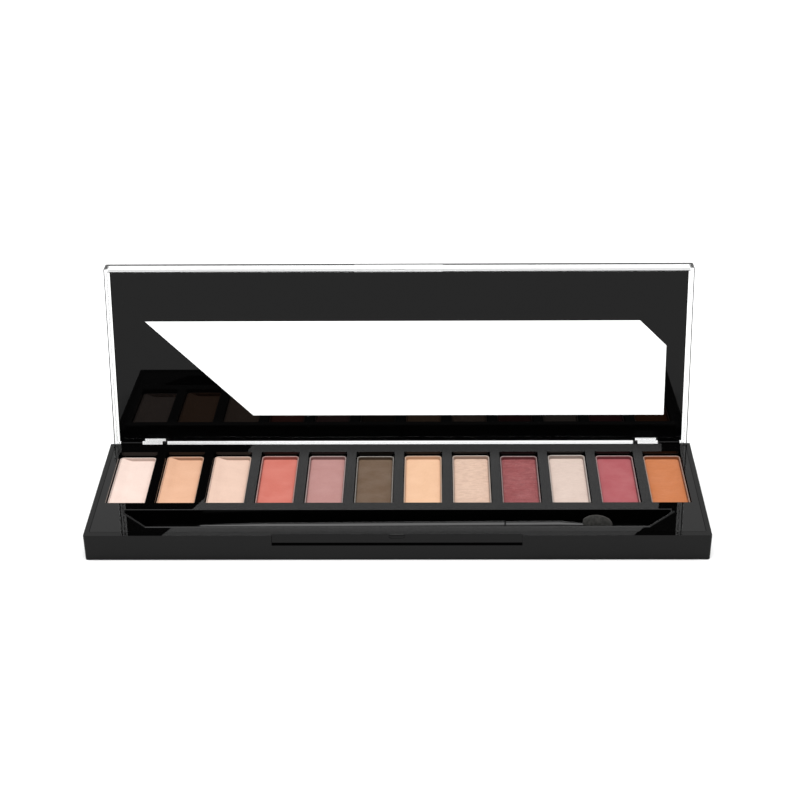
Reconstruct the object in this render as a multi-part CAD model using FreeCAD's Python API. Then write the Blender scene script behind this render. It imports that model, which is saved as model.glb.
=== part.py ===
"""Slim open eyeshadow palette: base shell, insert tray, twelve filled pans, clear lid and applicator.

Frame: millimetres, +Z up, +X along the length, +Y towards the hinge.  The origin is the centre of
the flat underside.  The lid pieces are drawn closed and then swung open about the hinge axis.
"""
import FreeCAD, Part
import math
import os

Vector = FreeCAD.Vector
X_AXIS = Vector(1, 0, 0)
Y_AXIS = Vector(0, 1, 0)
Z_AXIS = Vector(0, 0, 1)
EPS = 1.0                       # how far a cutting tool runs past the face that it opens
TOL = 1e-4                      # two heights closer than this are the same
SHARP_CORNERS = 2               # an outline's offset keeps its corners sharp

# Base shell
BASE_W, BASE_D, BASE_H = 190.0, 63.0, 8.6
BASE_CORNER_R = 0.7             # vertical corner edges
BASE_DRAFT = 0.3                # each side leans in by this much at the underside
BASE_EDGE_R = 0.35              # rounding of the underside edge
RIM_EDGE_R = 0.3                # rounding of the outer top edge at both ends
FLOOR_T = 1.2
SIDE_WALL, FRONT_WALL, REAR_WALL = 1.6, 2.3, 2.0
CAVITY_CORNER_R = 0.6
RECESS_HALF_W, RECESS_DEPTH, RECESS_FLOOR_Z = 37.9, 1.05, 5.1
NUB_HALF_W, NUB_R, NUB_Z, NUB_OUT = 2.55, 0.8, 7.8, 0.4
REST_RIB_W, REST_RIB_DEPTH, SIDE_RIB_DEPTH = 1.2, 1.0, 0.5
REST_RIB_COUNT, REST_RIB_PITCH = 9, 18.0
SIDE_RIB_YS = (-20.0, 0.0, 20.0)
RAIL_W, RAIL_END_GAP, RAIL_YS = 1.2, 8.0, (-4.0, 18.0)
LABEL_X, LABEL_W, LABEL_D, LABEL_R = 48.0, 72.0, 32.0, 1.5
LABEL_T, LABEL_POCKET, LABEL_MARGIN = 0.12, 0.3, 0.5

# Hinge: two steel pins on one axis near the rear face
HINGE_INSET = 1.0               # axis to the rear face
HINGE_DROP = 2.1                # axis below the rim
PIN_R, PIN_RUNNING, PIN_CHAMFER = 0.5, 0.03, 0.1
PIN_SINK = 0.4                  # pin head below the side face
KNUCKLE_X0, KNUCKLE_X1 = 77.9, 84.3
KNUCKLE_GAP = 0.1               # side clearance of a knuckle in its slot, and of the pin's inner end
BARREL_CLEAR, ARM_CLEAR = 0.04, 0.08
EAR_X0 = 76.3                   # inner ear of the base, beside the knuckle
BLOCK_X1 = 91.5                 # outer hinge block of the base
BLOCK_TOP, BLOCK_TOP_D = 0.85, 1.3   # raised back of the ears and blocks, above the rim
BLOCK_EDGE_R = 0.3
REAR_NOTCH = 1.0                # the rear wall is this much lower between the ears
REAR_EDGE_R = 0.6               # rounded rear edge that the lid's rim swings past
SLOT_CLEAR = 0.12               # knuckle slot below the barrel, which also stops the lid

# Insert tray
LAND_DROP = 0.1                 # tray surface below the rim
TRAY_GAP, TRAY_FRONT_GAP = 0.1, 0.3
TRAY_T, TRAY_CORNER_R = 1.2, 0.5
WALL_T, POCKET_FLOOR_T = 0.9, 0.9
PAN_COUNT, PAN_PITCH = 12, 15.446
WELL_W, WELL_Y0, WELL_Y1, WELL_DEPTH = 12.4, -10.1, 24.75, 4.8
TROUGH_HALF_W, TROUGH_FRONT_HALF_W = 84.1, 76.3
TROUGH_Y_REAR, TROUGH_Y_CHAMFER, TROUGH_Y_FRONT = -14.6, -16.2, -25.1
TROUGH_DEPTH = 5.45
TROUGH_EDGE_R = 0.25
BEAD_R, BEAD_SINK, BEAD_OFF = 0.6, 0.42, 0.62   # raised bead along the front of the trough's mouth
SWEEP_Y0, SWEEP_R = 20.0, 68.0  # from here back the tray surface curves up towards the hinge

# Pans and powders
PAN_W, PAN_D, PAN_H, PAN_T, PAN_R = 12.0, 33.6, 3.2, 0.4, 1.4
PAN_RIM_R = 0.15
PAN_RIM_DROP = 0.95             # pan rim below the tray surface
# Some pans sit lower than the others (or higher, below zero), by pan number
PAN_SINK = {1: 0.5, 2: 0.2, 3: 0.15, 6: 0.1, 8: -0.1, 9: 0.1, 10: -0.2, 12: 0.1}
POWDER_DROP = 1.1               # powder surface below the pan rim
POWDER_EDGE = 0.15
GLUE_W, GLUE_D = 7.0, 27.0

# Lid
LID_W, LID_D = 189.0, 62.8
LID_GAP = 0.3                   # lid rim above the base rim when shut
LID_WALL_DEPTH, LID_PLATE_T = 4.5, 1.1
LID_SIDE_T, LID_END_T = 1.2, 1.0
LID_CORNER_R, LID_EDGE_R, LID_INNER_R = 0.9, 0.4, 0.5
OPEN_ANGLE = 93.0               # lid angle from shut, where it leans on its stop
LUG_DEPTH, LUG_SINK = 2.0, 0.2  # knuckle block inside the lid, from the rear face and into the plate
WALL_CUT_H, WALL_CUT_IN = 1.1, 0.5   # cut in the lid's rear wall over the ears and blocks
TONGUE_HALF_W, TONGUE_T, TONGUE_H = 2.05, 0.37, 0.9
TONGUE_ROOT, TONGUE_TIP_R = 0.5, 0.15
GRIP_HALF_W, GRIP_DEPTH, GRIP_Z0, GRIP_H = 14.2, 0.2, 0.6, 3.4
FILM_T, FILM_HALF_W, FILM_S0, FILM_S1 = 0.1, 92.9, 1.3, 60.3
FILM_RELIEF = 0.2               # the film stays this far from the knuckle blocks
# Window corners: X, and distance forward from the lid's rear face
WINDOW = ((-82.4, 43.5), (77.9, 43.5), (86.7, 34.8), (86.7, 10.5), (-48.3, 10.5))

# Applicator
STICK_START = Vector(-61.5, -19.14, 4.52)   # left end on the axis
STICK_END = Vector(65.9, -20.8, 6.26)       # far end of the sponge on the axis
STICK_R, TAIL_R, TAIL_L = 1.6, 1.2, 18.0    # the handle narrows towards its left end
STEM_R, STEM_END_R, STEM_TAPER_L = 1.5, 0.8, 7.0
SPIGOT_R, NECK_R = 0.9, 0.7
HANDLE_L, STEM_L, NECK_L, SPIGOT_L = 94.5, 23.8, 4.0, 6.0
SEAM = 0.25                     # chamfer on both sides of the joint between handle and stem
SPONGE_L, SPONGE_W, SPONGE_T = 10.2, 6.5, 3.3
SPONGE_LEAN = 20.0              # the flat sponge stands on edge, leaning back

# Derived places
LAND_Z = BASE_H - LAND_DROP
WELL_FLOOR_Z = LAND_Z - WELL_DEPTH
HINGE_Y = BASE_D / 2 - HINGE_INSET
HINGE_Z = BASE_H - HINGE_DROP
RIM_Z = BASE_H + LID_GAP        # lid rim when shut
PLATE_Z = RIM_Z + LID_WALL_DEPTH
LID_REAR_Y = BASE_D / 2
LID_FRONT_Y = LID_REAR_Y - LID_D
WELL_Y = (WELL_Y0 + WELL_Y1) / 2
PAN_XS = [(i - (PAN_COUNT - 1) / 2) * PAN_PITCH for i in range(PAN_COUNT)]
PAN_ZS = [LAND_Z - PAN_RIM_DROP - PAN_H - PAN_SINK.get(i + 1, 0.0) for i in range(PAN_COUNT)]


def box(x0, x1, y0, y1, z0, z1):
    """Box between two opposite corners."""
    return Part.makeBox(x1 - x0, y1 - y0, z1 - z0, Vector(x0, y0, z0))


def mirrored(shape):
    """The same shape on the other side of the YZ plane."""
    return shape.mirror(Vector(0, 0, 0), X_AXIS)


def closed_polygon(points):
    """Wire through the points and back to the first."""
    return Part.makePolygon(points + [points[0]])


def prism(wire, height):
    """Flat closed wire swept upwards."""
    return Part.Face(wire).extrude(Vector(0, 0, height))


def rounded_outline(x0, x1, y0, y1, r, z):
    """Rounded rectangle as a wire at height z."""
    corners = ((x1 - r, y1 - r, 0), (x0 + r, y1 - r, 90), (x0 + r, y0 + r, 180), (x1 - r, y0 + r, 270))
    edges = []
    ends = []
    for cx, cy, start in corners:
        arc = Part.makeCircle(r, Vector(cx, cy, z), Z_AXIS, start, start + 90)
        edges.append(arc)
        ends.append((arc.firstVertex().Point, arc.lastVertex().Point))
    for i in range(4):
        edges.append(Part.makeLine(ends[i][1], ends[(i + 1) % 4][0]))
    return Part.Wire(Part.__sortEdges__(edges))


def rounded_box(x0, x1, y0, y1, z0, z1, r):
    """Box with rounded vertical edges."""
    return prism(rounded_outline(x0, x1, y0, y1, r, z0), z1 - z0)


def edges_at_height(shape, z):
    """Edges that lie wholly in the plane at height z."""
    return [e for e in shape.Edges if abs(e.BoundBox.ZMin - z) < TOL and abs(e.BoundBox.ZMax - z) < TOL]


def long_edges_at_height(shape, z):
    """Edges along X in the plane at height z."""
    return [e for e in edges_at_height(shape, z) if e.BoundBox.XLength > TOL]


def both_sides(x0, x1, y0, y1, z0, z1):
    """The same box on the right and on the left."""
    right = box(x0, x1, y0, y1, z0, z1)
    return [right, mirrored(right)]


def write(name, shape):
    """Check one piece and write its file."""
    shape = shape.removeSplitter()
    if not shape.isValid():
        raise RuntimeError(name + " is not valid")
    shape.exportStep("parts/" + name + ".step")


# ---------------------------------------------------------------- base

def rear_edge_waste():
    """What comes off the rear top edge to round it."""
    x, y, z = BASE_W / 2 + EPS, BASE_D / 2 - REAR_EDGE_R, BASE_H - REAR_EDGE_R
    corner = box(-x, x, y, BASE_D / 2 + EPS, z, BASE_H + EPS)
    return corner.cut(Part.makeCylinder(REAR_EDGE_R, 2 * x + 2 * EPS, Vector(-x - EPS, y, z), X_AXIS))


def end_edge_waste():
    """What comes off the right-hand top edge to round it."""
    x, y, z = BASE_W / 2 - RIM_EDGE_R, BASE_D / 2 + EPS, BASE_H - RIM_EDGE_R
    corner = box(x, BASE_W / 2 + EPS, -y, y, z, BASE_H + EPS)
    return corner.cut(Part.makeCylinder(RIM_EDGE_R, 2 * y + 2 * EPS, Vector(x, -y - EPS, z), Y_AXIS))


def base_outer():
    """Drafted block with a rounded underside edge and rounded ends and rear edge."""
    half_w, half_d = BASE_W / 2, BASE_D / 2
    low = rounded_outline(-half_w + BASE_DRAFT, half_w - BASE_DRAFT, -half_d + BASE_DRAFT, half_d,
                          BASE_CORNER_R, 0)
    high = rounded_outline(-half_w, half_w, -half_d, half_d, BASE_CORNER_R, BASE_H)
    outer = Part.makeLoft([low, high], True, True)
    outer = outer.makeFillet(BASE_EDGE_R, edges_at_height(outer, 0))
    end = end_edge_waste()
    return outer.cut([rear_edge_waste(), end, mirrored(end)])


def base_rest_ribs():
    """Short upright ribs on the walls that the tray's edge rests on, and rails below the wells."""
    ribs = []
    top = LAND_Z - TRAY_T
    y0, y1 = -BASE_D / 2 + FRONT_WALL, BASE_D / 2 - REAR_WALL
    x1 = BASE_W / 2 - SIDE_WALL
    for i in range(REST_RIB_COUNT):
        x = (i - (REST_RIB_COUNT - 1) / 2) * REST_RIB_PITCH - REST_RIB_W / 2
        ribs.append(box(x, x + REST_RIB_W, y0, y0 + REST_RIB_DEPTH, FLOOR_T, top))
        ribs.append(box(x, x + REST_RIB_W, y1 - REST_RIB_DEPTH, y1, FLOOR_T, top))
    for y in SIDE_RIB_YS:
        ribs += both_sides(x1 - SIDE_RIB_DEPTH, x1, y, y + REST_RIB_W, FLOOR_T, top)
    rail_x, rail_top = BASE_W / 2 - RAIL_END_GAP, WELL_FLOOR_Z - POCKET_FLOOR_T
    for y in RAIL_YS:
        ribs.append(box(-rail_x, rail_x, y, y + RAIL_W, FLOOR_T, rail_top))
    return ribs


def base_hinge_blocks():
    """Ears and outer blocks that hold the pins, each with a raised back that is rounded on top."""
    solids = []
    rear, top = BASE_D / 2, BASE_H + BLOCK_TOP
    for x0, x1 in ((EAR_X0, KNUCKLE_X0 - KNUCKLE_GAP), (KNUCKLE_X1 + KNUCKLE_GAP, BLOCK_X1)):
        foot = box(x0, x1, rear - REAR_WALL, rear, FLOOR_T, BASE_H)
        back = box(x0, x1, rear - BLOCK_TOP_D, rear, HINGE_Z, top)
        back = back.makeFillet(BLOCK_EDGE_R, long_edges_at_height(back, top))
        block = foot.fuse(back)
        solids += [block, mirrored(block)]
    return solids


def base_shell():
    """Moulded tub with the hinge blocks, the thumb recess and the catch nub."""
    half_w, half_d = BASE_W / 2, BASE_D / 2
    shell = base_outer()
    shell = shell.cut(rounded_box(-half_w + SIDE_WALL, half_w - SIDE_WALL, -half_d + FRONT_WALL,
                                  half_d - REAR_WALL, FLOOR_T, BASE_H + EPS, CAVITY_CORNER_R))
    shell = shell.fuse(base_rest_ribs())
    shell = shell.fuse(base_hinge_blocks())
    slot_floor = HINGE_Z - HINGE_INSET - SLOT_CLEAR
    cuts = both_sides(KNUCKLE_X0 - KNUCKLE_GAP, KNUCKLE_X1 + KNUCKLE_GAP, half_d - REAR_WALL - EPS,
                      half_d + EPS, slot_floor, BASE_H + 2 * EPS)
    cuts.append(box(-EAR_X0, EAR_X0, half_d - REAR_WALL - EPS, half_d + EPS, BASE_H - REAR_NOTCH,
                    BASE_H + EPS))
    cuts.append(box(-RECESS_HALF_W, RECESS_HALF_W, -half_d - EPS, -half_d + RECESS_DEPTH,
                    RECESS_FLOOR_Z, BASE_H + EPS))
    hole = Part.makeCylinder(PIN_R, half_w - EAR_X0 + 2 * EPS, Vector(EAR_X0 - EPS, HINGE_Y, HINGE_Z), X_AXIS)
    cuts += [hole, mirrored(hole)]
    pocket_w, pocket_d = LABEL_W / 2 + LABEL_MARGIN, LABEL_D / 2 + LABEL_MARGIN
    cuts.append(rounded_box(LABEL_X - pocket_w, LABEL_X + pocket_w, -pocket_d, pocket_d, -EPS,
                            LABEL_POCKET, LABEL_R + LABEL_MARGIN))
    shell = shell.cut(cuts)
    nub_x, nub_y = NUB_HALF_W - NUB_R, -half_d + RECESS_DEPTH - NUB_OUT + NUB_R
    bar = Part.makeCylinder(NUB_R, 2 * nub_x, Vector(-nub_x, nub_y, NUB_Z), X_AXIS)
    ends = [Part.makeSphere(NUB_R, Vector(x, nub_y, NUB_Z)) for x in (-nub_x, nub_x)]
    return shell.fuse([bar] + ends)


def base_label():
    """Blank paper label in its pocket under the base."""
    return rounded_box(LABEL_X - LABEL_W / 2, LABEL_X + LABEL_W / 2, -LABEL_D / 2, LABEL_D / 2,
                       LABEL_POCKET - LABEL_T, LABEL_POCKET, LABEL_R)


def hinge_pin():
    """Right-hand steel hinge pin, pushed in from the side."""
    x0, x1 = EAR_X0 + KNUCKLE_GAP, BASE_W / 2 - PIN_SINK
    pin = Part.makeCylinder(PIN_R, x1 - x0, Vector(x0, HINGE_Y, HINGE_Z), X_AXIS)
    rims = [e for e in pin.Edges if abs(e.BoundBox.XLength) < TOL]
    return pin.makeChamfer(PIN_CHAMFER, rims)


# ---------------------------------------------------------------- insert tray

def trough_outline(z):
    """Outline of the applicator trough at height z, with its two slanted front corners."""
    right = [(TROUGH_HALF_W, TROUGH_Y_REAR), (TROUGH_HALF_W, TROUGH_Y_CHAMFER),
             (TROUGH_FRONT_HALF_W, TROUGH_Y_FRONT)]
    left = [(-x, y) for x, y in reversed(right)]
    return closed_polygon([Vector(x, y, z) for x, y in right + left])


def trough_bead():
    """Low rounded bead that runs along the front and the slanted corners of the trough's mouth."""
    path = trough_outline(LAND_Z - BEAD_SINK).makeOffset2D(BEAD_OFF, SHARP_CORNERS)
    runs = [e for e in path.Edges if e.BoundBox.YMax < TROUGH_Y_CHAMFER]
    solids = []
    for edge in runs:
        start, end = (v.Point for v in edge.Vertexes)
        solids.append(Part.makeCylinder(BEAD_R, edge.Length, start, end - start))
        solids += [Part.makeSphere(BEAD_R, start), Part.makeSphere(BEAD_R, end)]
    return solids


def insert_tray():
    """Tray with twelve wells and the applicator trough, cored from below between the wells."""
    half_w = BASE_W / 2 - SIDE_WALL - TRAY_GAP
    y0 = -BASE_D / 2 + FRONT_WALL + TRAY_FRONT_GAP
    y1 = BASE_D / 2 - REAR_WALL - TRAY_GAP
    plate_z = LAND_Z - TRAY_T
    plate = rounded_box(-half_w, half_w, y0, y1, plate_z, LAND_Z, TRAY_CORNER_R)
    outer_x = PAN_XS[-1] + WELL_W / 2 + WALL_T
    wells = box(-outer_x, outer_x, WELL_Y0 - WALL_T, WELL_Y1 + WALL_T, WELL_FLOOR_Z - POCKET_FLOOR_T,
                LAND_Z)
    trough_floor = LAND_Z - TROUGH_DEPTH
    bottom = trough_floor - POCKET_FLOOR_T
    trough = prism(trough_outline(bottom).makeOffset2D(WALL_T, SHARP_CORNERS), LAND_Z - bottom)
    sweep = box(-outer_x, outer_x, SWEEP_Y0, y1, plate_z, LAND_Z + EPS)
    sweep = sweep.cut(Part.makeCylinder(SWEEP_R, 2 * outer_x + 2 * EPS,
                                        Vector(-outer_x - EPS, SWEEP_Y0, LAND_Z + SWEEP_R), X_AXIS))
    tray = plate.fuse([wells, trough, sweep])
    cuts = [box(x - WELL_W / 2, x + WELL_W / 2, WELL_Y0, WELL_Y1, WELL_FLOOR_Z, LAND_Z + 2 * EPS)
            for x in PAN_XS]
    core = PAN_PITCH - WELL_W - 2 * WALL_T
    for i in range(PAN_COUNT - 1):
        x = (PAN_XS[i] + PAN_XS[i + 1]) / 2
        cuts.append(box(x - core / 2, x + core / 2, WELL_Y0, WELL_Y1, WELL_FLOOR_Z - 2 * EPS, plate_z))
    cuts.append(prism(trough_outline(trough_floor), TROUGH_DEPTH + EPS))
    tray = tray.cut(cuts).removeSplitter()
    mouth = [e for e in edges_at_height(tray, LAND_Z)
             if TROUGH_Y_FRONT - TOL < e.CenterOfMass.y < TROUGH_Y_REAR + TOL
             and abs(e.CenterOfMass.x) < TROUGH_HALF_W + TOL]
    return tray.makeFillet(TROUGH_EDGE_R, mouth).fuse(trough_bead())


# ---------------------------------------------------------------- pans

def pan(x, z):
    """Thin metal pan with rounded corners and a rounded rim, standing at height z."""
    x0, x1 = x - PAN_W / 2, x + PAN_W / 2
    y0, y1 = WELL_Y - PAN_D / 2, WELL_Y + PAN_D / 2
    outer = rounded_box(x0, x1, y0, y1, z, z + PAN_H, PAN_R)
    outer = outer.makeFillet(PAN_T, edges_at_height(outer, z))
    hollow = rounded_box(x0 + PAN_T, x1 - PAN_T, y0 + PAN_T, y1 - PAN_T, z + PAN_T, z + PAN_H + EPS,
                         PAN_R - PAN_T)
    tray = outer.cut(hollow)
    return tray.makeFillet(PAN_RIM_R, edges_at_height(tray, z + PAN_H))


def powder(x, z):
    """Pressed powder cake in a pan that stands at height z, a little below the pan's rim."""
    half_w, half_d = PAN_W / 2 - PAN_T, PAN_D / 2 - PAN_T
    top = z + PAN_H - POWDER_DROP
    cake = rounded_box(x - half_w, x + half_w, WELL_Y - half_d, WELL_Y + half_d, z + PAN_T, top,
                       PAN_R - PAN_T)
    return cake.makeChamfer(POWDER_EDGE, edges_at_height(cake, top))


def glue_pads():
    """Foam glue pad between each pan and its well floor, as one group."""
    pads = [box(x - GLUE_W / 2, x + GLUE_W / 2, WELL_Y - GLUE_D / 2, WELL_Y + GLUE_D / 2, WELL_FLOOR_Z, z)
            for x, z in zip(PAN_XS, PAN_ZS)]
    return Part.makeCompound(pads)


# ---------------------------------------------------------------- lid, drawn shut

def swing_open(shape):
    """Turn a lid piece from shut to its open rest pose."""
    opened = shape.copy()
    opened.rotate(Vector(0, HINGE_Y, HINGE_Z), X_AXIS, -OPEN_ANGLE)
    return opened


def lid_knuckle():
    """Right-hand knuckle: a block in the lid's rear corner with an arm down to the pin barrel."""
    lug = box(KNUCKLE_X0, KNUCKLE_X1, LID_REAR_Y - LUG_DEPTH, LID_REAR_Y, RIM_Z, PLATE_Z + LUG_SINK)
    arm = box(KNUCKLE_X0, KNUCKLE_X1, HINGE_Y - HINGE_INSET + ARM_CLEAR, LID_REAR_Y, HINGE_Z, RIM_Z)
    barrel = Part.makeCylinder(HINGE_INSET - BARREL_CLEAR, KNUCKLE_X1 - KNUCKLE_X0,
                               Vector(KNUCKLE_X0, HINGE_Y, HINGE_Z), X_AXIS)
    return lug.fuse(arm.fuse(barrel))


def lid_shell():
    """Clear one-piece lid: plate, four walls, two knuckles, catch tongue and finger recess."""
    half_w = LID_W / 2
    top = PLATE_Z + LID_PLATE_T
    outer = rounded_box(-half_w, half_w, LID_FRONT_Y, LID_REAR_Y, RIM_Z, top, LID_CORNER_R)
    outer = outer.makeFillet(LID_EDGE_R, edges_at_height(outer, top))
    inside = rounded_box(-half_w + LID_SIDE_T, half_w - LID_SIDE_T, LID_FRONT_Y + LID_END_T,
                         LID_REAR_Y - LID_END_T, RIM_Z - EPS, PLATE_Z, LID_INNER_R)
    shell = outer.cut(inside)
    gap = 2 * KNUCKLE_GAP
    cuts = both_sides(EAR_X0 - gap, BLOCK_X1 + gap, LID_REAR_Y - LID_END_T - WALL_CUT_IN,
                      LID_REAR_Y + EPS, RIM_Z - EPS, RIM_Z + WALL_CUT_H)
    cuts.append(box(-GRIP_HALF_W, GRIP_HALF_W, LID_FRONT_Y - EPS, LID_FRONT_Y + GRIP_DEPTH,
                    RIM_Z + GRIP_Z0, RIM_Z + GRIP_Z0 + GRIP_H))
    shell = shell.cut(cuts)
    knuckle = lid_knuckle()
    tip_z = RIM_Z - TONGUE_H
    tongue = box(-TONGUE_HALF_W, TONGUE_HALF_W, LID_FRONT_Y, LID_FRONT_Y + TONGUE_T, tip_z,
                 RIM_Z + TONGUE_ROOT)
    tongue = tongue.makeFillet(TONGUE_TIP_R, long_edges_at_height(tongue, tip_z))
    shell = shell.fuse([knuckle, mirrored(knuckle), tongue])
    bore = Part.makeCylinder(PIN_R + PIN_RUNNING, KNUCKLE_X1 - KNUCKLE_X0 + 2 * EPS,
                             Vector(KNUCKLE_X0 - EPS, HINGE_Y, HINGE_Z), X_AXIS)
    return shell.cut([bore, mirrored(bore)])


def lid_black_panel():
    """Black film on the inside of the lid's plate, with a slanted clear window cut in it."""
    z0 = PLATE_Z - FILM_T
    film = box(-FILM_HALF_W, FILM_HALF_W, LID_REAR_Y - FILM_S1, LID_REAR_Y - FILM_S0, z0, PLATE_Z)
    corners = [Vector(x, LID_REAR_Y - s, z0 - EPS) for x, s in WINDOW]
    window = prism(closed_polygon(corners), FILM_T + 2 * EPS)
    reliefs = both_sides(KNUCKLE_X0 - FILM_RELIEF, KNUCKLE_X1 + FILM_RELIEF,
                         LID_REAR_Y - LUG_DEPTH - FILM_RELIEF, LID_REAR_Y, z0 - EPS, PLATE_Z + EPS)
    return film.cut([window] + reliefs)


# ---------------------------------------------------------------- applicator, drawn along +X

def place_applicator(shape):
    """Lean the sponge back and lay the applicator in the trough."""
    run = STICK_END - STICK_START
    placed = shape.copy()
    placed.rotate(Vector(0, 0, 0), X_AXIS, -SPONGE_LEAN)
    placed.rotate(Vector(0, 0, 0), Y_AXIS, -math.degrees(math.atan2(run.z, run.x)))
    placed.rotate(Vector(0, 0, 0), Z_AXIS, math.degrees(math.atan2(run.y, run.x)))
    placed.translate(STICK_START)
    return placed


def applicator_handle():
    """Glossy stick with a narrower domed tail and a blind socket for the stem."""
    stick = Part.makeCylinder(STICK_R, HANDLE_L - TAIL_L, Vector(TAIL_L, 0, 0), X_AXIS)
    end_rim = [e for e in stick.Edges if abs(e.BoundBox.XMin - HANDLE_L) < TOL]
    stick = stick.makeChamfer(SEAM, end_rim)
    tail = Part.makeCone(TAIL_R, STICK_R, TAIL_L - TAIL_R, Vector(TAIL_R, 0, 0), X_AXIS)
    dome = Part.makeSphere(TAIL_R, Vector(TAIL_R, 0, 0))
    socket = Part.makeCylinder(SPIGOT_R, SPIGOT_L + EPS, Vector(HANDLE_L - SPIGOT_L, 0, 0), X_AXIS)
    return stick.fuse([tail, dome]).cut(socket)


def applicator_stem():
    """Sponge holder: spigot into the handle, body with a tapered end and a neck inside the sponge."""
    spigot = Part.makeCylinder(SPIGOT_R, SPIGOT_L, Vector(HANDLE_L - SPIGOT_L, 0, 0), X_AXIS)
    taper_x = HANDLE_L + STEM_L - STEM_TAPER_L
    body = Part.makeCylinder(STEM_R, STEM_L - STEM_TAPER_L, Vector(HANDLE_L, 0, 0), X_AXIS)
    body = body.makeChamfer(SEAM, [e for e in body.Edges if abs(e.BoundBox.XMax - HANDLE_L) < TOL])
    taper = Part.makeCone(STEM_R, STEM_END_R, STEM_TAPER_L, Vector(taper_x, 0, 0), X_AXIS)
    neck = Part.makeCylinder(NECK_R, NECK_L, Vector(HANDLE_L + STEM_L, 0, 0), X_AXIS)
    return spigot.fuse([body, taper, neck])


def sponge_tip():
    """Flat oval foam tip with a blind hole for the stem's neck."""
    start = (STICK_END - STICK_START).Length - SPONGE_L
    foam = Part.makeSphere(1.0)
    scale = FreeCAD.Matrix()
    scale.scale(SPONGE_L / 2, SPONGE_T / 2, SPONGE_W / 2)
    foam = foam.transformGeometry(scale)
    foam.translate(Vector(start + SPONGE_L / 2, 0, 0))
    mouth = HANDLE_L + STEM_L
    front_cut = box(start - EPS, mouth, -SPONGE_W, SPONGE_W, -SPONGE_W, SPONGE_W)
    hole = Part.makeCylinder(NECK_R, NECK_L, Vector(mouth, 0, 0), X_AXIS)
    return foam.cut([front_cut, hole])


def main():
    os.makedirs("parts", exist_ok=True)
    write("base_shell", base_shell())
    write("base_label", base_label())
    write("hinge_pin_right", hinge_pin())
    write("hinge_pin_left", mirrored(hinge_pin()))
    write("insert_tray", insert_tray())
    for i in range(PAN_COUNT):
        write("pan_%02d" % (i + 1), pan(PAN_XS[i], PAN_ZS[i]))
        write("powder_%02d" % (i + 1), powder(PAN_XS[i], PAN_ZS[i]))
    write("pan_glue_pads", glue_pads())
    write("lid_shell", swing_open(lid_shell()))
    write("lid_black_panel", swing_open(lid_black_panel()))
    write("applicator_handle", place_applicator(applicator_handle()))
    write("applicator_stem", place_applicator(applicator_stem()))
    write("sponge_tip", place_applicator(sponge_tip()))


main()
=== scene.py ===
"""Looks for the open eyeshadow palette: materials, pressed powders, sponge, studio and camera.

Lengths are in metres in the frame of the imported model: +X along the palette, +Y towards the hinge.
"""
import math

import bmesh
import bpy
from mathutils import Matrix, Vector, noise


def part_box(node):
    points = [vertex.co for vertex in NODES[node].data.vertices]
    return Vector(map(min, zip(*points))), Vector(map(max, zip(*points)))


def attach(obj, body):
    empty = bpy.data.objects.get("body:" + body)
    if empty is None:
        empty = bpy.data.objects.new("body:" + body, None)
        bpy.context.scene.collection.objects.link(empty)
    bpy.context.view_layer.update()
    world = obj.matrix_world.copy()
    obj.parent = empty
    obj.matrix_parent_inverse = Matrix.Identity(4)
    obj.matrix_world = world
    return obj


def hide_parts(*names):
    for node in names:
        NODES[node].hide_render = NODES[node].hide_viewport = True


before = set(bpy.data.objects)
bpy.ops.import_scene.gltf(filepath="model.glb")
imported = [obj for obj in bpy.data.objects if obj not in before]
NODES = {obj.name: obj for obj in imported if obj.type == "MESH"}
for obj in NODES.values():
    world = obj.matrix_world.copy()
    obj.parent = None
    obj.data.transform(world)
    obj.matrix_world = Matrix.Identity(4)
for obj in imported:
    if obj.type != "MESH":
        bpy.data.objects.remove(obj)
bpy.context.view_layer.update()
MM = 0.001

# Pressed powders: own colour in sRGB 0-255, shimmer from 0 to 1.
POWDERS = [
    ((207, 186, 176), 0.0),
    ((194, 151, 123), 0.0),
    ((195, 167, 151), 0.0),
    ((173, 95, 83), 0.0),
    ((153, 111, 107), 0.1),
    ((85, 66, 49), 0.2),
    ((197, 159, 129), 0.0),
    ((189, 161, 143), 0.8),
    ((127, 60, 62), 1.0),
    ((183, 165, 155), 0.3),
    ((144, 70, 75), 0.1),
    ((167, 98, 55), 0.3),
]

# Glossy black plastics: base tone, specular level, span of roughness, and strength of the waviness.
GLOSSES = {
    "black_plastic": (0.0005, 0.235, (0.012, 0.03), 0.004),
    "base_plastic": (0.0005, 0.16, (0.012, 0.03), 0.004),
    "black_film": (0.0005, 0.16, (0.012, 0.03), 0.003),
    "applicator_plastic": (0.001, 0.43, (0.05, 0.12), 0.02),
}

# Plain grainy materials: two tones, scale of the grain, span of roughness, and depth of the grain.
GRAINS = {
    "adhesive": ((0.62, 0.58, 0.45), (0.78, 0.75, 0.63), 900.0, (0.4, 0.7), 0.1 * MM),
    "label_paper": ((0.7, 0.7, 0.68), (0.84, 0.84, 0.82), 1500.0, (0.6, 0.85), 0.03 * MM),
    "floor": ((0.89, 0.89, 0.89), (0.91, 0.91, 0.91), 30.0, (0.85, 0.95), 0.0),
}

# Pans: how far powder covers the rim, and how far the walls' dusted powder colour is darkened, against the
# powder's own colour, as painted shade.
RIM_DUST = {1: 1.0, 2: 1.0, 3: 1.0, 7: 0.8}
PAINTED_WALL_SHADE = {1: 0.8, 2: 0.6, 3: 0.7, 7: 0.75}
OTHER_RIM_DUST, OTHER_PAINTED_WALL_SHADE = 0.55, 0.5
RIM_BAND = (0.90, 0.95)           # share of a pan's height where the wall's finish turns into the rim's

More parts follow.
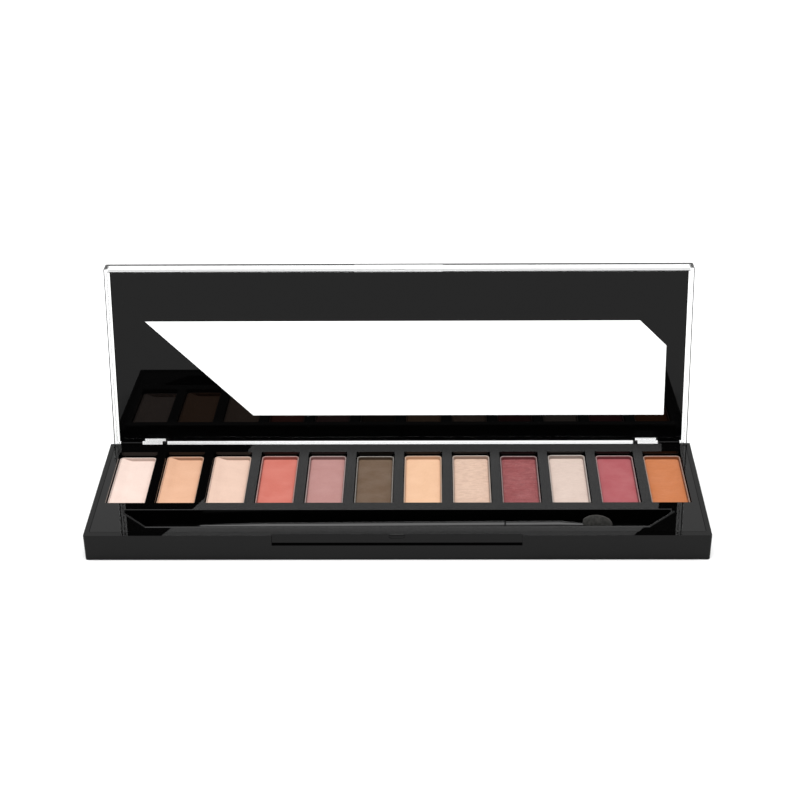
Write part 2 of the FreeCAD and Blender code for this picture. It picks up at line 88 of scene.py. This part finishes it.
# Powder cakes: grid lines near a wall, and the section there as (mm from the wall, mm above the face).
CAKE_CORNER_R = 1.0 * MM
CAKE_STEP = 0.3 * MM
CAKE_ROWS = (0.0, 0.04, 0.09, 0.15, 0.22, 0.32, 0.45, 0.6, 0.75, 0.9, 1.05, 1.2)   # mm from a wall
CAKE_PROFILE = (
    (0.0, -0.2),
    (0.09, -0.06),
    (0.22, 0.04),
    (0.6, 0.03),
    (0.75, -0.03),
    (0.9, -0.03),
    (1.2, 0.0),
)

# Relief that pressing leaves in a cake: each pattern's size along X and Y and its height, in mm.
BROAD_SIZE, BROAD_HEIGHT, BROAD_SEED = (4.0, 6.0), 0.025, 0
FINE_SIZE, FINE_HEIGHT, FINE_SEED = (0.7, 0.7), 0.006, 5
STREAK_SIZE, STREAK_HEIGHT, STREAK_SEED = (2.6, 1.1), 0.07, 9
DIMPLE_SIZE, DIMPLE_HEIGHT, DIMPLE_SEED = (1.3, 1.3), 0.2, 13
STREAK_SLANT = 1.1 / 3            # shift along Y for each step along X
DIMPLE_SPARSENESS = 0.45
CAKE_SEED_STEP = 3.7

# Overfilled pans: the powder climbs to the pan's rim along its left wall.
OVERFILLED = (1, 2, 3)
CLIMB_WIDTH = 4.0 * MM
CLIMB_BELOW_RIM = 0.03 * MM

# Sponge: its mesh, and the sizes and depths of its cells and lumps.
SPONGE_VOXEL = 0.16 * MM
SPONGE_SMOOTHINGS = 3
CELL_SIZE, CELL_DEPTH = 0.35 * MM, 0.07 * MM
LUMP_SIZE, LUMP_HEIGHT = 2.0 * MM, 0.05 * MM
SPONGE_INSET = 0.03 * MM

# Small rounded edges of the moulded pieces, and the hair of glue between the film and the lid's plate.
EDGE_WIDTHS = {"base_shell": 0.08 * MM, "insert_tray": 0.1 * MM, "lid_shell": 0.08 * MM}
EDGE_SEGMENTS = 2
EDGE_ANGLE = math.radians(40)
GLUE_GAP = 0.01 * MM

# Studio
FLOOR_SIZE = 12.0
WORLD_LEVEL = 0.7
SOFTBOX_AT, SOFTBOX_SIZE, SOFTBOX_POWER = (0.0, -0.25, 1.5), (2.4, 1.6), 38.0

# Camera: lens and sensor in mm, its place, and how far it looks down, turns and rolls in radians.
LENS_MM, SENSOR_MM = 95.8347, 36.0
CAMERA_AT = (0.0116086, -0.594719, 0.3187795)
DOWN, YAW, ROLL = 0.43975, -0.01817, -0.0098
NEAREST_SEEN = 0.01


# ---------------------------------------------------------------- node helpers

def linear(value):
    """One sRGB channel, 0 to 255, as linear light."""
    c = value / 255.0
    return c / 12.92 if c <= 0.04045 else ((c + 0.055) / 1.055) ** 2.4


def colour(rgb):
    """An sRGB colour, 0 to 255, as linear RGBA."""
    return tuple(linear(c) for c in rgb) + (1.0,)


def toned(rgba, gain):
    """The same colour, lighter or darker."""
    return tuple(min(1.0, c * gain) for c in rgba[:3]) + (1.0,)


def between(a, b, share):
    """A colour on the way from a to b."""
    return tuple(p + (q - p) * share for p, q in zip(a, b))


def new_material(name):
    """A material with its tree, its shader and its output node."""
    mat = bpy.data.materials.new(name)
    mat.use_nodes = True
    tree = mat.node_tree
    tree.nodes.clear()
    out = tree.nodes.new("ShaderNodeOutputMaterial")
    shader = tree.nodes.new("ShaderNodeBsdfPrincipled")
    tree.links.new(shader.outputs["BSDF"], out.inputs["Surface"])
    return mat, tree, shader, out


def object_coords(tree):
    """Coordinates in a piece's own space, in metres."""
    return tree.nodes.new("ShaderNodeTexCoord").outputs["Object"]


def stretched(tree, coords, scale):
    """Coordinates scaled per axis: a pattern is longest where the scale is smallest."""
    mapping = tree.nodes.new("ShaderNodeMapping")
    mapping.inputs["Scale"].default_value = scale
    tree.links.new(coords, mapping.inputs["Vector"])
    return mapping.outputs["Vector"]


def noise_tex(tree, coords, scale, detail, rough):
    """Noise from 0 to 1: the larger the scale, the smaller its spots."""
    node = tree.nodes.new("ShaderNodeTexNoise")
    node.inputs["Scale"].default_value = scale
    node.inputs["Detail"].default_value = detail
    node.inputs["Roughness"].default_value = rough
    tree.links.new(coords, node.inputs["Vector"])
    return node.outputs["Fac"]


def ramp(tree, value, span, result=(0.0, 1.0)):
    """Turns the given span of a value into the result's span, and holds it beyond both ends."""
    node = tree.nodes.new("ShaderNodeMapRange")
    node.inputs["From Min"].default_value, node.inputs["From Max"].default_value = span
    node.inputs["To Min"].default_value, node.inputs["To Max"].default_value = result
    tree.links.new(value, node.inputs["Value"])
    return node.outputs["Result"]


def mix_colour(tree, share, a, b):
    """Mixes two colours, each a constant or another node's output."""
    node = tree.nodes.new("ShaderNodeMix")
    node.data_type = "RGBA"
    sockets = [s for s in node.inputs if s.type == "RGBA"]
    for socket, value in zip(sockets, (a, b)):
        if isinstance(value, tuple):
            socket.default_value = value
        else:
            tree.links.new(value, socket)
    tree.links.new(share, node.inputs["Factor"])
    return next(s for s in node.outputs if s.type == "RGBA")


def bump(tree, height, strength, distance, normal=None):
    """Bump from a height, on top of another bump's normal if one is given."""
    node = tree.nodes.new("ShaderNodeBump")
    node.inputs["Strength"].default_value = strength
    node.inputs["Distance"].default_value = distance
    tree.links.new(height, node.inputs["Height"])
    if normal is not None:
        tree.links.new(normal, node.inputs["Normal"])
    return node.outputs["Normal"]


# ---------------------------------------------------------------- materials

def black_gloss(name, base, specular, roughness, waviness):
    """Glossy black plastic: faint smudges in the gloss and a very faint moulding waviness."""
    mat, tree, shader, _ = new_material(name)
    coords = object_coords(tree)
    smudge = noise_tex(tree, coords, scale=60.0, detail=4.0, rough=0.6)
    tree.links.new(ramp(tree, smudge, (0.45, 0.75), roughness), shader.inputs["Roughness"])
    dark = (base, base, base * 1.05, 1.0)
    tree.links.new(mix_colour(tree, smudge, dark, toned(dark, 1.6)), shader.inputs["Base Color"])
    shader.inputs["Specular IOR Level"].default_value = specular
    height = noise_tex(tree, coords, scale=45.0, detail=1.0, rough=0.4)
    tree.links.new(bump(tree, height, waviness, 0.4 * MM), shader.inputs["Normal"])
    return mat


def clear_plastic():
    """Clear polished plastic that lets shadow and diffuse light through."""
    mat, tree, shader, out = new_material("clear_plastic")
    smudge = noise_tex(tree, object_coords(tree), scale=50.0, detail=4.0, rough=0.6)
    tree.links.new(ramp(tree, smudge, (0.5, 0.8), (0.0, 0.03)), shader.inputs["Roughness"])
    shader.inputs["Base Color"].default_value = (0.995, 0.998, 0.998, 1.0)
    shader.inputs["Transmission Weight"].default_value = 1.0
    shader.inputs["IOR"].default_value = 1.49
    path = tree.nodes.new("ShaderNodeLightPath")
    either = tree.nodes.new("ShaderNodeMath")
    either.operation = "MAXIMUM"
    tree.links.new(path.outputs["Is Shadow Ray"], either.inputs[0])
    tree.links.new(path.outputs["Is Diffuse Ray"], either.inputs[1])
    through = tree.nodes.new("ShaderNodeBsdfTransparent")
    through.inputs["Color"].default_value = (0.96, 0.965, 0.965, 1.0)
    mix = tree.nodes.new("ShaderNodeMixShader")
    tree.links.new(either.outputs[0], mix.inputs[0])
    tree.links.new(shader.outputs["BSDF"], mix.inputs[1])
    tree.links.new(through.outputs["BSDF"], mix.inputs[2])
    tree.links.new(mix.outputs[0], out.inputs["Surface"])
    return mat


def steel():
    """Drawn steel wire: fine streaks along its length."""
    mat, tree, shader, _ = new_material("steel_pin")
    coords = stretched(tree, object_coords(tree), (0.05, 1.0, 1.0))
    grain = noise_tex(tree, coords, scale=900.0, detail=3.0, rough=0.6)
    shader.inputs["Base Color"].default_value = (0.6, 0.6, 0.6, 1.0)
    shader.inputs["Metallic"].default_value = 1.0
    tree.links.new(ramp(tree, grain, (0.3, 0.7), (0.2, 0.35)), shader.inputs["Roughness"])
    tree.links.new(bump(tree, grain, 0.15, 0.05 * MM), shader.inputs["Normal"])
    return mat


def pan_metal(number, rgb):
    """Pressed metal dusted with the pan's own powder: a paler rim, and walls below it in the powder's colour
    darkened as painted shade.
    """
    mat, tree, shader, _ = new_material(f"pan_metal_{number:02d}")
    cover = RIM_DUST.get(number, OTHER_RIM_DUST)
    metal = (0.3, 0.297, 0.285, 1.0)
    # Walls: the powder's colour as real dust, darkened as painted shade below the rim.
    wall = toned(colour(rgb), PAINTED_WALL_SHADE.get(number, OTHER_PAINTED_WALL_SHADE))
    dust = noise_tex(tree, object_coords(tree), scale=1400.0, detail=4.0, rough=0.65)
    height = tree.nodes.new("ShaderNodeSeparateXYZ")
    tree.links.new(tree.nodes.new("ShaderNodeTexCoord").outputs["Generated"], height.inputs["Vector"])
    dusted = ramp(tree, dust, (0.35, 0.6), (0.6 * cover, cover))
    rim = mix_colour(tree, dusted, metal, toned(colour(rgb), 0.9))
    rim_share = ramp(tree, height.outputs["Z"], RIM_BAND)
    tree.links.new(mix_colour(tree, rim_share, wall, rim), shader.inputs["Base Color"])
    bare = ramp(tree, height.outputs["Z"], RIM_BAND, (0.0, 0.6 * (1.0 - cover)))
    tree.links.new(bare, shader.inputs["Metallic"])
    tree.links.new(ramp(tree, dust, (0.35, 0.6), (0.35, 0.65)), shader.inputs["Roughness"])
    tree.links.new(bump(tree, dust, 0.3, 0.03 * MM), shader.inputs["Normal"])
    return mat


def foam():
    """Dark foam: small cells, upright streaks and a paler outline painted as a sheen where the surface turns
    away from view.
    """
    mat, tree, shader, _ = new_material("sponge_foam")
    dark, pale, sheen_pale = (0.013, 0.013, 0.012, 1.0), (0.03, 0.029, 0.027, 1.0), (0.055, 0.053, 0.05, 1.0)
    coords = object_coords(tree)
    cells = noise_tex(tree, coords, scale=2500.0, detail=4.0, rough=0.65)
    upright = stretched(tree, coords, (1.0, 1.0, 0.25))
    streaks = noise_tex(tree, upright, scale=1100.0, detail=3.0, rough=0.6)
    body = mix_colour(tree, ramp(tree, streaks, (0.35, 0.65)), dark, pale)
    # Painted sheen: the foam turns paler where its surface turns away from view.
    weight = tree.nodes.new("ShaderNodeLayerWeight")
    weight.inputs["Blend"].default_value = 0.35
    edge = ramp(tree, weight.outputs["Facing"], (0.2, 0.8))
    tree.links.new(mix_colour(tree, edge, body, sheen_pale), shader.inputs["Base Color"])
    tree.links.new(bump(tree, cells, 0.5, 0.2 * MM), shader.inputs["Normal"])
    shader.inputs["Roughness"].default_value = 0.95
    shader.inputs["Specular IOR Level"].default_value = 0.2
    return mat


def shimmering(tree, shader, coords, base, tinted, shimmer):
    """Pearl flecks and darker swirls over a powder's colour, with a metallic gloss on the flecks."""
    fleck_coords = stretched(tree, coords, (1.0, 1.3, 1.0))
    flecks = noise_tex(tree, fleck_coords, scale=5200.0, detail=2.0, rough=0.6)
    mask = ramp(tree, flecks, (0.55, 0.72), (0.0, shimmer))
    pearl = between(toned(base, 1.3), (0.9, 0.86, 0.82, 1.0), 0.25)
    swirl_coords = stretched(tree, coords, (0.5, 1.2, 1.0))
    swirl = noise_tex(tree, swirl_coords, scale=900.0, detail=2.0, rough=0.5)
    veil = ramp(tree, swirl, (0.4, 0.62), (0.0, 0.4 * shimmer))
    tree.links.new(ramp(tree, mask, (0.0, 1.0), (0.15 * shimmer, 0.6)), shader.inputs["Metallic"])
    tree.links.new(ramp(tree, mask, (0.0, 1.0), (0.8, 0.35)), shader.inputs["Roughness"])
    return mix_colour(tree, veil, mix_colour(tree, mask, tinted, pearl), toned(base, 0.62))


def powder_material(number, rgb, shimmer):
    """Pressed powder: fine grain, soft mottling and, in the shimmer shades, pearl flecks."""
    mat, tree, shader, _ = new_material(f"powder_{number:02d}")
    coords = object_coords(tree)
    fine = noise_tex(tree, coords, scale=2600.0, detail=3.0, rough=0.7)
    broad = noise_tex(tree, coords, scale=160.0, detail=3.0, rough=0.5)
    base = colour(rgb)
    grain = mix_colour(tree, ramp(tree, fine, (0.3, 0.7)), toned(base, 0.93), toned(base, 1.06))
    pale = between(toned(base, 1.1), (0.85, 0.8, 0.76, 1.0), 0.06)
    tinted = mix_colour(tree, ramp(tree, broad, (0.35, 0.75), (0.0, 0.5)), grain, pale)
    normal = bump(tree, fine, 0.3, 0.06 * MM)
    normal = bump(tree, broad, 0.15, 0.2 * MM, normal)
    if shimmer > 0.0:
        tinted = shimmering(tree, shader, coords, base, tinted, shimmer)
        streak_coords = stretched(tree, coords, (0.3, 1.2, 1.0))
        streaks = noise_tex(tree, streak_coords, scale=700.0, detail=3.0, rough=0.6)
        normal = bump(tree, streaks, 0.35 * shimmer, 0.1 * MM, normal)
    else:
        tree.links.new(ramp(tree, fine, (0.3, 0.7), (0.85, 0.95)), shader.inputs["Roughness"])
    shader.inputs["Specular IOR Level"].default_value = 0.2
    shader.inputs["Sheen Weight"].default_value = 0.05
    tree.links.new(tinted, shader.inputs["Base Color"])
    tree.links.new(normal, shader.inputs["Normal"])
    return mat


def grainy(name, dark, pale, scale, roughness, depth):
    """Plain material with a grain in its colour, roughness and bump."""
    mat, tree, shader, _ = new_material(name)
    grain = noise_tex(tree, object_coords(tree), scale, detail=4.0, rough=0.65)
    tree.links.new(mix_colour(tree, grain, dark + (1.0,), pale + (1.0,)), shader.inputs["Base Color"])
    tree.links.new(ramp(tree, grain, (0.3, 0.7), roughness), shader.inputs["Roughness"])
    tree.links.new(bump(tree, grain, 0.5, depth), shader.inputs["Normal"])
    shader.inputs["Specular IOR Level"].default_value = 0.3
    return mat


def all_materials():
    """Every finish but the pans' metal: the record's slots, the base's own black and the floor."""
    materials = {"clear_plastic": clear_plastic(), "steel_pin": steel(), "sponge_foam": foam()}
    for name, look in GLOSSES.items():
        materials[name] = black_gloss(name, *look)
    for name, look in GRAINS.items():
        materials[name] = grainy(name, *look)
    for number, (rgb, shimmer) in enumerate(POWDERS, 1):
        materials[f"powder_{number:02d}"] = powder_material(number, rgb, shimmer)
    return materials


MATERIALS = all_materials()


def finish_of(name, slot):
    """The material for a CAD node's slot: each pan has its own metal, and the base its own black."""
    if slot == "pan_metal":
        number = int(name.split("_")[1])
        return pan_metal(number, POWDERS[number - 1][0])
    if name == "base_shell":
        return MATERIALS["base_plastic"]
    return MATERIALS[slot]


for name, node in NODES.items():
    for part_slot in node.material_slots:
        part_slot.material = finish_of(name, part_slot.material.name.split(".")[0])


# ---------------------------------------------------------------- moulded edges and the film

def soften(node, width):
    """Small rounded edges, as a mould leaves them."""
    bevel = node.modifiers.new("edge_rounding", "BEVEL")
    bevel.width = width
    bevel.segments = EDGE_SEGMENTS
    bevel.limit_method = "ANGLE"
    bevel.angle_limit = EDGE_ANGLE
    bevel.use_clamp_overlap = True
    bevel.harden_normals = False


def keep_film_off_plate():
    """Shrink the film by a hair, so that its face and the plate's don't lie in one plane."""
    gap = NODES["lid_black_panel"].modifiers.new("glue_gap", "DISPLACE")
    gap.strength = -GLUE_GAP
    gap.mid_level = 0.0


for name, width in EDGE_WIDTHS.items():
    soften(NODES[name], width)
keep_film_off_plate()


# ---------------------------------------------------------------- pressed powders

def along(half, rows, step):
    """Grid lines from half to -half: close together near the ends, evenly spaced between."""
    inner = half - rows[-1]
    count = max(2, round(2 * inner / step))
    ends = [half - r for r in rows[:-1]]
    middle = [inner - 2 * inner * i / count for i in range(count + 1)]
    return ends + middle + [-e for e in reversed(ends)]


def rounded(x, y, half_w, half_d, r):
    """Bend a point of a rectangle into one with round corners. Also gives the distance to the wall."""
    dx, dy = abs(x) - (half_w - r), abs(y) - (half_d - r)
    if dx <= 0 or dy <= 0:
        return x, y, min(half_w - abs(x), half_d - abs(y))
    reach = max(dx, dy)
    shrink = reach / math.hypot(dx, dy)
    return (math.copysign(half_w - r + dx * shrink, x), math.copysign(half_d - r + dy * shrink, y), r - reach)


def profile(distance):
    """Height of the powder near the pan's wall, from CAKE_PROFILE."""
    d = distance / MM
    for (d0, h0), (d1, h1) in zip(CAKE_PROFILE, CAKE_PROFILE[1:]):
        if d < d1:
            t = (d - d0) / (d1 - d0)
            return (h0 + (h1 - h0) * t * t * (3 - 2 * t)) * MM
    return 0.0


def pattern(x, y, size, seed):
    """Smooth noise at a place in metres, for a pattern size in mm."""
    return noise.noise(Vector((x / (size[0] * MM), y / (size[1] * MM), seed)))


def pressed_relief(x, y, seed, shimmer):
    """Small unevenness that pressing leaves in the surface: more of it in the shimmer shades."""
    broad = BROAD_HEIGHT * pattern(x, y, BROAD_SIZE, seed + BROAD_SEED)
    fine = FINE_HEIGHT * pattern(x, y, FINE_SIZE, seed + FINE_SEED)
    streak = STREAK_HEIGHT * pattern(x, y + x * STREAK_SLANT, STREAK_SIZE, seed + STREAK_SEED)
    pits = min(0.0, pattern(x, y, DIMPLE_SIZE, seed + DIMPLE_SEED) + DIMPLE_SPARSENESS)
    return (broad + fine + shimmer * (streak + DIMPLE_HEIGHT * pits)) * MM


def climb(from_left):
    """Share of the rise to the rim, near an overfilled pan's left wall."""
    t = max(0.0, 1 - from_left / CLIMB_WIDTH)
    return t * t * (3 - 2 * t)


def rise_to_rim(number, top):
    """How far an overfilled cake's left edge stands above the cake's face."""
    if number not in OVERFILLED:
        return 0.0
    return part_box(f"pan_{number:02d}")[1][2] - CLIMB_BELOW_RIM - top


def cake_face(bm, number, shimmer, low, high):
    """The upper face of a cake, as rows of vertices."""
    centre, half = (low + high) / 2, (high - low) / 2
    rows = [r * MM for r in CAKE_ROWS]
    rise = rise_to_rim(number, high.z)
    xs, ys = along(half.x, rows, CAKE_STEP), along(half.y, rows, CAKE_STEP)
    grid = []
    for y0 in ys:
        line = []
        for x0 in xs:
            x, y, wall = rounded(x0, y0, half.x, half.y, CAKE_CORNER_R)
            z = high.z + profile(wall) + pressed_relief(x, y, number * CAKE_SEED_STEP, shimmer)
            z += rise * climb(x + half.x)
            line.append(bm.verts.new((centre.x + x, centre.y + y, z)))
        grid.append(line)
    for a, b in zip(grid, grid[1:]):
        for i in range(len(xs) - 1):
            bm.faces.new((a[i], b[i], b[i + 1], a[i + 1]))
    return grid


def close_below(bm, grid, bottom):
    """Walls down from the face's border, and a flat underside."""
    left = [line[0] for line in grid]
    right = [line[-1] for line in grid]
    border = grid[0][:-1] + right[:-1] + grid[-1][:0:-1] + left[:0:-1]
    base = [bm.verts.new((v.co.x, v.co.y, bottom)) for v in border]
    for i in range(len(border)):
        j = (i + 1) % len(border)
        bm.faces.new((border[i], border[j], base[j], base[i]))
    bm.faces.new(base)


def powder_cake(number, shimmer):
    """Pressed cake with a rolled edge, a shallow frame line and a slightly uneven face."""
    node = f"powder_{number:02d}"
    low, high = (Vector(c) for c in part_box(node))
    bm = bmesh.new()
    close_below(bm, cake_face(bm, number, shimmer, low, high), low.z)
    bmesh.ops.recalc_face_normals(bm, faces=bm.faces)
    mesh = bpy.data.meshes.new(f"powder_cake_{number:02d}")
    bm.to_mesh(mesh)
    bm.free()
    mesh.shade_smooth()
    mesh.materials.append(MATERIALS[node])
    cake = bpy.data.objects.new(mesh.name, mesh)
    bpy.context.scene.collection.objects.link(cake)
    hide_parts(node)
    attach(cake, "base")


for number, (_, shimmer) in enumerate(POWDERS, 1):
    powder_cake(number, shimmer)


# ---------------------------------------------------------------- sponge

def fine_copy(node, name):
    """A finely and evenly meshed copy of a CAD node."""
    mesh = NODES[node].data.copy()
    mesh.name = name
    piece = bpy.data.objects.new(name, mesh)
    bpy.context.scene.collection.objects.link(piece)
    remesh = piece.modifiers.new("remesh", "REMESH")
    remesh.mode = "VOXEL"
    remesh.voxel_size = SPONGE_VOXEL
    evaluated = piece.evaluated_get(bpy.context.evaluated_depsgraph_get())
    fine = bpy.data.meshes.new_from_object(evaluated)
    piece.modifiers.clear()
    piece.data = fine
    return piece


def pitted(vert):
    """How far a point of the sponge moves: in at a cell, out or in with a lump."""
    cell = CELL_DEPTH * min(0.0, noise.noise(vert.co / CELL_SIZE))
    lump = LUMP_HEIGHT * noise.noise(vert.co / LUMP_SIZE)
    return vert.normal * (cell + lump - SPONGE_INSET)


def sponge():
    """Foam tip: the design's oval, remeshed fine and pitted with small cells."""
    tip = fine_copy("sponge_tip", "sponge_foam_tip")
    bm = bmesh.new()
    bm.from_mesh(tip.data)
    for _ in range(SPONGE_SMOOTHINGS):
        bmesh.ops.smooth_vert(
            bm, verts=bm.verts, factor=0.5, use_axis_x=True, use_axis_y=True, use_axis_z=True,
        )
    bm.normal_update()
    moves = [pitted(vert) for vert in bm.verts]
    for vert, move in zip(bm.verts, moves):
        vert.co += move
    bm.to_mesh(tip.data)
    bm.free()
    tip.data.shade_smooth()
    tip.data.materials.clear()
    tip.data.materials.append(MATERIALS["sponge_foam"])
    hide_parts("sponge_tip")
    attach(tip, "applicator")


sponge()


# ---------------------------------------------------------------- studio and camera

def studio_floor():
    """Pale matt floor that the palette stands on."""
    bpy.ops.mesh.primitive_plane_add(size=FLOOR_SIZE, location=(0, 0, 0))
    floor = bpy.context.object
    floor.name = "floor"
    floor.data.materials.append(MATERIALS["floor"])


def studio_world():
    """Even pale surroundings."""
    world = bpy.data.worlds.new("studio")
    bpy.context.scene.world = world
    world.use_nodes = True
    background = world.node_tree.nodes["Background"]
    background.inputs["Color"].default_value = (WORLD_LEVEL, WORLD_LEVEL, WORLD_LEVEL, 1)
    background.inputs["Strength"].default_value = 1.0


def top_softbox():
    """Large soft light above the palette, aimed at it."""
    data = bpy.data.lights.new("top_softbox", "AREA")
    data.shape = "RECTANGLE"
    data.size, data.size_y = SOFTBOX_SIZE
    data.energy = SOFTBOX_POWER
    lamp = bpy.data.objects.new("top_softbox", data)
    bpy.context.scene.collection.objects.link(lamp)
    lamp.location = SOFTBOX_AT
    lamp.rotation_euler = (-Vector(SOFTBOX_AT)).to_track_quat("-Z", "Y").to_euler()


def camera_turn():
    """The camera's axes as a matrix: it looks along -Z, with +X to its right."""
    forward = Vector((math.sin(YAW) * math.cos(DOWN), math.cos(YAW) * math.cos(DOWN), -math.sin(DOWN)))
    right = Vector((math.cos(YAW), -math.sin(YAW), 0.0))
    up = right.cross(forward)
    right_rolled = right * math.cos(ROLL) + up * math.sin(ROLL)
    up_rolled = up * math.cos(ROLL) - right * math.sin(ROLL)
    return Matrix((right_rolled, up_rolled, -forward)).transposed()


def add_camera():
    """The camera in front of the palette, a little above it."""
    data = bpy.data.cameras.new("camera")
    data.sensor_width = SENSOR_MM
    data.lens = LENS_MM
    data.clip_start = NEAREST_SEEN
    camera = bpy.data.objects.new("camera", data)
    bpy.context.scene.collection.objects.link(camera)
    camera.matrix_world = Matrix.Translation(CAMERA_AT) @ camera_turn().to_4x4()
    bpy.context.scene.camera = camera


studio_floor()
studio_world()
top_softbox()
add_camera()
bpy.context.scene.view_settings.view_transform = "Standard"
